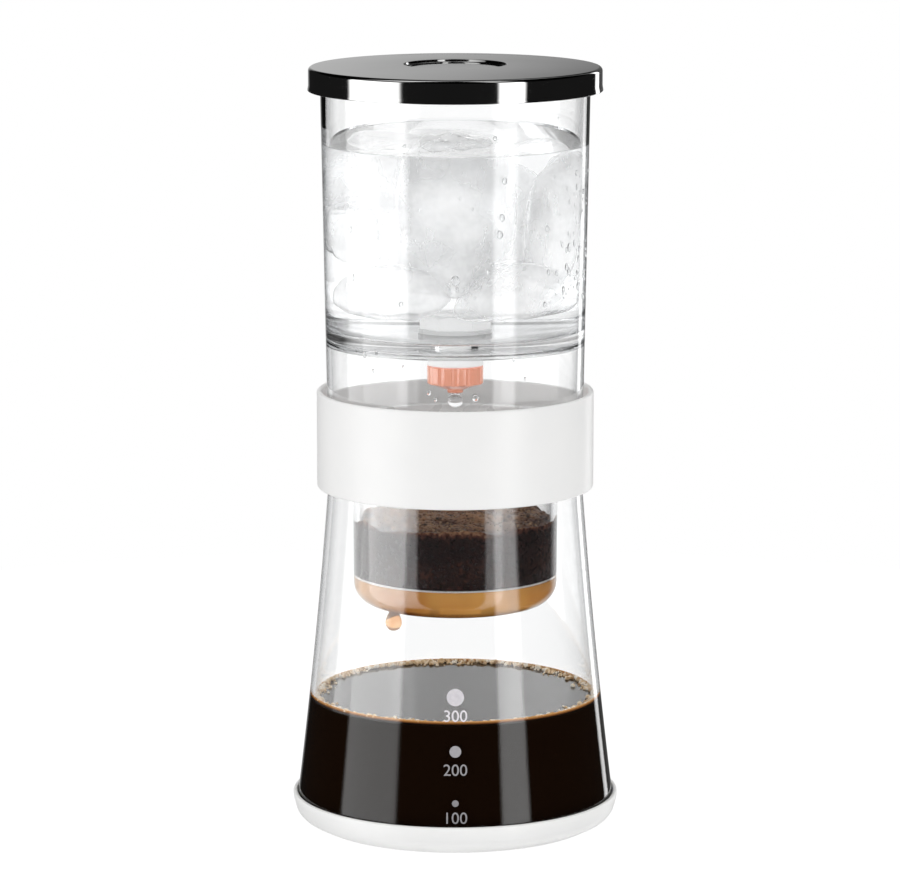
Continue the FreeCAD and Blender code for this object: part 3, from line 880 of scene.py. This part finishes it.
# %% Amber coffee
amber, tree, shader = finish("amber_coffee", {"Transmission Weight": 0.55, "IOR": 1.34, "Roughness": 0.02})
drive(tree, shader, "Base Color", ramp(tree, noise(tree, 45, 2.0), [
    (0.35, (0.46, 0.15, 0.02)), (0.65, (0.98, 0.50, 0.13)),
]))
amber_low = basket_floor_z - into_glass / 2
amber_middle = 74.4
amber_top = 77.2
amber_wall = basket_wall_at(amber_top)
amber_outline = outline([
    (0, amber_low), (basket_inner_radius + into_glass, amber_low, 5.1),
    (amber_wall + into_glass, amber_top, 0.2), (amber_wall - 0.9, amber_top, 0.2),
    (basket_inner_radius - 1.0, amber_middle, 0.5), (0, amber_middle),
], closed=False)
turned("amber_coffee", amber_outline, amber, "basket")

# %% [markdown]
# ## Drops
# A drop that hangs has a round belly and a neck that tapers up to what holds it. The outline of a
# teardrop has this: height follows the cosine of a parameter, and radius its sine times a power of the
# sine of half of it.

# %% Drops
water, tree, shader = finish(
    "clear_water",
    {"Base Color": (0.99, 0.995, 1.0, 1), "Transmission Weight": 1.0, "IOR": 1.333, "Roughness": 0.0},
)
relief(tree, shader, noise(tree, 120, 1.0), 0.02 * mm, 0.2)
lets_soft_light_in(tree, shader)
thin_coffee, tree, shader = finish(
    "coffee_drop", {"Transmission Weight": 0.85, "IOR": 1.34, "Roughness": 0.02},
)
drive(tree, shader, "Base Color", ramp(tree, noise(tree, 300, 2.0), [
    (0.3, (0.85, 0.36, 0.10)), (0.7, (1.0, 0.66, 0.34)),
]))


def teardrop(name, x, y, top, bottom, belly, taper, material, body):
    """A hanging drop: at t from 0 to pi its height goes with cos t, from top to bottom, and its radius is the
    belly times sin t times sin(t/2) to the power of the taper, scaled so that its widest is the belly."""
    rows = 28
    columns = 32
    t = np.linspace(0, math.pi, rows)[::-1, None]
    share = np.sin(t) * np.sin(t / 2) ** taper
    radius = belly * share / share.max()
    height = (top + bottom) / 2 + (top - bottom) / 2 * np.cos(t)
    angle = np.linspace(0, full_turn, columns, endpoint=False)[None]
    points = np.stack([x + radius * np.cos(angle), y + radius * np.sin(angle), height + 0 * angle], -1)
    return piece(name, points, grid_faces(rows, columns, False), material, body)


nozzle_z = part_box("valve_knob")[0].z / mm
teardrop("water_drop", 0, 0, nozzle_z + 0.3, nozzle_z - 4.6, 2.35, 0.35, water, "knob")
drop_reach = 25.6
drop_x = -18.6
drop_y = -math.sqrt(drop_reach**2 - drop_x**2)
teardrop(
    "coffee_drop", drop_x, drop_y, basket_low + 2.1, basket_low - 5.4, 2.5, 0.9, thin_coffee, "basket",
)

# %% [markdown]
# ## Iced water
# The tank is full of cold water, with large melting lumps of ice in it. Water touches the glass, so its
# skin lies a little way inside the wall, and no silvery air gap shows. A ray that enters ice from water
# bends very little, so the ice has the ratio of the two indices. What makes it visible is its cloudiness,
# so its shader mixes clear and white by noise. A lump starts as a rounded box in polar form, with planes
# cut off it and soft waves on it.

# %% Iced water
water_level = 209.8
water_meniscus = 0.5
water_low = tank_floor_top - into_glass
water_foot_radius = tank_outer(tank_floor_top) - tank_wall + into_glass
water_edge_radius = tank_outer(water_level) - tank_wall + into_glass
water_outline = outline([
    (0, water_low), (water_foot_radius, water_low, 2.6),
    (water_edge_radius, water_level + water_meniscus, 0.1), (water_edge_radius - 1.0, water_level, 0.8),
    (0, water_level),
], closed=False)
turned("tank_water", water_outline, water, "tank", 200)

ice_into_water = 1.31 / 1.333
ice, tree, shader = finish("melting_ice", {"IOR": ice_into_water, "Emission Color": (1, 1, 1, 1)})
cloud = noise(tree, 55, 4.0)
crack = noise(tree, 240, 5.0, (1, 1, 0.4))
drive(tree, shader, "Base Color", ramp(tree, cloud, [(0.3, (0.97, 0.975, 0.98)), (0.7, (1.0, 1.0, 1.0))]))
drive(tree, shader, "Transmission Weight", spread(tree, cloud, 0.95, 0.35, 0.35, 0.66))
drive(tree, shader, "Roughness", spread(tree, crack, 0.05, 0.30, 0.35, 0.65))
# Painted glow: the whiter, cloudier parts of the ice give off a faint light of their own.
drive(tree, shader, "Emission Strength", spread(tree, cloud, 0.035, 0.07))
relief(tree, shader, crack, 0.6 * mm, 0.5)


def lump(name, centre, half_sizes, turn_degrees, lean_degrees, seed, cuts=4):
    """An ice lump in polar form: direction d reaches 1 / (sum of |d|^p)^(1/p) of a rounded box, with p near
    4, and no further than each of some cutting planes. Waves soften it, then it is scaled, turned, moved."""
    rows = 49
    columns = 72
    random = np.random.default_rng(seed)
    v = np.linspace(0, math.pi, rows)[:, None]
    a = np.linspace(0, full_turn, columns, endpoint=False)[None]
    d = np.stack([np.sin(v) * np.cos(a), np.sin(v) * np.sin(a), np.cos(v) + 0 * a], -1)
    power = 4.2
    reach = 1 / (np.abs(d) ** power).sum(-1) ** (1 / power)
    for _ in range(cuts):
        normal = random.normal(size=3)
        normal /= np.linalg.norm(normal)
        facing = np.clip(d @ normal, 1e-3, None)
        plane = random.uniform(0.72, 0.98) / facing
        reach = -np.log(np.exp(-9 * reach) + np.exp(-9 * np.minimum(plane, 4))) / 9
    reach = reach * (1 + 0.035 * waves(d[..., 0] * 2, d[..., 1] + 2 * d[..., 2], 1.3, seed + 1))
    points = d * reach[..., None] * np.array(half_sizes)
    turn = math.radians(turn_degrees)
    lean = math.radians(lean_degrees)
    cos_z, sin_z = math.cos(turn), math.sin(turn)
    cos_y, sin_y = math.cos(lean), math.sin(lean)
    about_z = np.array([[cos_z, -sin_z, 0], [sin_z, cos_z, 0], [0, 0, 1]])
    about_y = np.array([[cos_y, 0, sin_y], [0, 1, 0], [-sin_y, 0, cos_y]])
    points = points @ (about_z @ about_y).T + np.array(centre)
    points[0, :] = points[0].mean(0)
    points[-1, :] = points[-1].mean(0)
    faces = grid_faces(rows, columns, False)[:, ::-1]
    piece(name, points, faces, ice, "tank", sharp_degrees=70.0)


# Each lump has its centre, its half sizes, its turn, its lean and its seed.
ice_lumps = {
    "ice_centre": ((-1.0, -6.0, 189.0), (15.0, 13.0, 22.5), 8, 2, 41),
    "ice_left": ((-26.5, -6.0, 183.0), (9.0, 12.0, 10.5), -14, -10, 47),
    "ice_upper_left": ((-21.0, 12.0, 197.0), (11.0, 12.0, 9.5), 25, 12, 49),
    "ice_right": ((25.0, -2.0, 187.0), (8.6, 12.5, 20.0), 10, 4, 53),
    "ice_low_left": ((-16.0, -8.0, 166.5), (14.0, 13.0, 8.0), 30, 6, 59),
    "ice_low_right": ((15.5, -7.0, 167.0), (14.5, 13.5, 8.5), -24, -5, 61),
    "ice_back": ((0.0, 22.5, 182.0), (18.0, 10.0, 20.0), 3, 5, 67),
}
for name, shape in ice_lumps.items():
    lump(name, *shape)

# %% [markdown]
# ## Condensation
# The cold tank sweats, so small drops sit on the outside of its glass, crowded on its right side, and a
# few on the inside of the skirt, where water splashed. Each is a ball flattened against the wall, sunk a
# little into it.

# %% Condensation


def wall_drops(name, across_degrees, heights, sizes, wall_radius, seed):
    """Drops on a round wall: angles from the front to +X, heights, sizes and the wall's radius at each."""
    angle = np.radians(across_degrees)
    out = np.stack([np.sin(angle), -np.cos(angle)], -1)
    centres = np.hstack([out * wall_radius[:, None], heights[:, None]])
    flat = 1 - 0.5 * np.abs(out)
    tall = np.hstack([flat, np.full((len(angle), 1), 1.15)])
    scattered(name, centres, sizes[:, None] * tall, water, "tank", seed, rings=8, sides=12)


random = np.random.default_rng(71)
fine_count = 160
crowd_count = 150
angles = np.concatenate([random.uniform(-180, 180, fine_count), random.normal(66, 11, crowd_count)])
heights = np.concatenate([random.uniform(160, 222, fine_count), random.uniform(163, 205, crowd_count)])
sizes = np.concatenate([
    random.gamma(1.6, 0.13, fine_count).clip(0.10, 0.8),
    random.gamma(2.0, 0.17, crowd_count).clip(0.12, 1.0),
])
large = np.array([
    [-51, 187.0, 0.9], [-50, 172.5, 1.0], [0, 173.5, 1.35], [14, 176.0, 0.7], [20, 192.0, 1.0],
    [19, 187.0, 1.1], [21, 203.0, 0.9], [-24, 166.0, 0.8], [42, 165.0, 0.8], [58, 181.0, 1.2],
])
angles = np.concatenate([angles, large[:, 0]])
heights = np.concatenate([heights, large[:, 1]])
sizes = np.concatenate([sizes, large[:, 2]])
wall_drops("condensation", angles, heights, sizes, tank_outer(heights) + 0.05 * sizes, 72)

splash = np.array([
    [-45, 149.5, 0.9], [-40, 145.0, 0.6], [-38, 150.5, 0.7], [-12, 139.5, 0.8], [-9, 137.5, 0.6],
    [9, 138.0, 1.1], [27, 149.0, 0.6], [-24, 147.0, 0.5], [33, 143.0, 0.5],
])
splash_wall = tank_outer(splash[:, 1]) - tank_wall - 0.05 * splash[:, 2]
wall_drops("skirt_splashes", splash[:, 0], splash[:, 1], splash[:, 2], splash_wall, 73)

# %% [markdown]
# ## Floor
# The tower stands on a pale disc that glows just enough to melt into the white backdrop, and that still
# darkens a little under the boot. It isn't seen in reflections, where it would put a white veil over the
# black coffee.

# %% Floor
floor_radius = 420.0
floor_grey = 0.20
floor_glow = 0.86
floor_material = bpy.data.materials.new("pale_floor")
floor_material.use_nodes = True
floor_tree = floor_material.node_tree
floor_tree.nodes.clear()
matte = node(floor_tree, "ShaderNodeBsdfDiffuse", [(floor_grey, floor_grey, floor_grey, 1)])
glow = node(floor_tree, "ShaderNodeEmission", [(1, 1, 1, 1), floor_glow])
both = node(floor_tree, "ShaderNodeAddShader", [matte.outputs[0], glow.outputs[0]])
floor_tree.links.new(both.outputs[0], node(floor_tree, "ShaderNodeOutputMaterial").inputs["Surface"])
edge = np.linspace(0, full_turn, 96, endpoint=False)
disc = np.stack([floor_radius * np.cos(edge), floor_radius * np.sin(edge), 0 * edge], -1) * mm
floor_mesh = bpy.data.meshes.new("pale_floor")
floor_mesh.from_pydata(disc.tolist(), [], [list(range(len(disc)))])
floor_mesh.materials.append(floor_material)
floor = bpy.data.objects.new("pale_floor", floor_mesh)
scene.collection.objects.link(floor)
floor.visible_glossy = False
floor.visible_transmission = False
